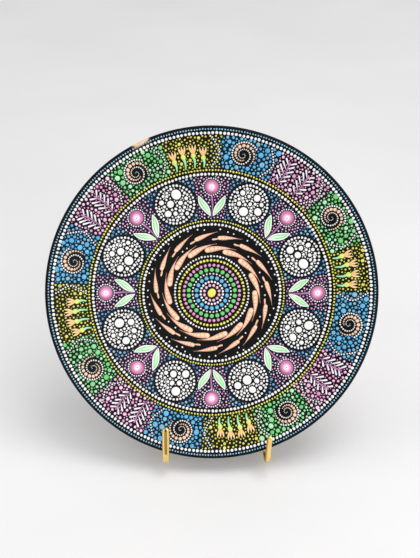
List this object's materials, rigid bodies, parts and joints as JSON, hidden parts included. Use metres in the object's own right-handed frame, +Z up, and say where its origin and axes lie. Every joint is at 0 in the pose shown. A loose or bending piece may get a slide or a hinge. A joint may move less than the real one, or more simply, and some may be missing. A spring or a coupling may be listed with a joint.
{
  "type": "decorative plate on wire stand",
  "caption": "Round painted ceramic coupe plate that leans in the hooks of a folding brass wire easel.",
  "frame": {"origin": "middle of the object's outline seen from above, on the surface that it stands on", "axes": "+Z up, the painted face looks along -Y and leans back, +X to the right of someone looking at the face"},
  "size_m": [0.26, 0.2032, 0.2497],
  "materials": {
    "painted_glaze": "glossy varnish over raised paint dots",
    "brass_wire": "polished, lightly rubbed",
    "brass_rod": "polished, solder marks at the joints",
    "foot_rubber": "soft, translucent, slightly yellowed"
  },
  "bodies": {
    "stand": {"left_support": "brass_wire", "right_support": "brass_wire", "hinge_rod": "brass_rod", "lower_crossbar": "brass_rod", "left_foot_pad": "foot_rubber", "right_foot_pad": "foot_rubber"},
    "plate": {"plate": "painted_glaze"},
    "rear_leg": {"rear_leg": "brass_wire", "rear_foot_pad": "foot_rubber"}
  },
  "joints": [
    {"name": "rear_leg_fold", "type": "hinge", "parent": "stand", "child": "rear_leg", "pos_m": [0.00365, 0.0181, 0.178], "axis": [1, 0, 0], "range_deg": [-40, 0]},
    {"name": "plate_lift", "type": "slide", "parent": "stand", "child": "plate", "axis": [0, 0, 1], "range_m": [0, 0.05]}
  ]
}
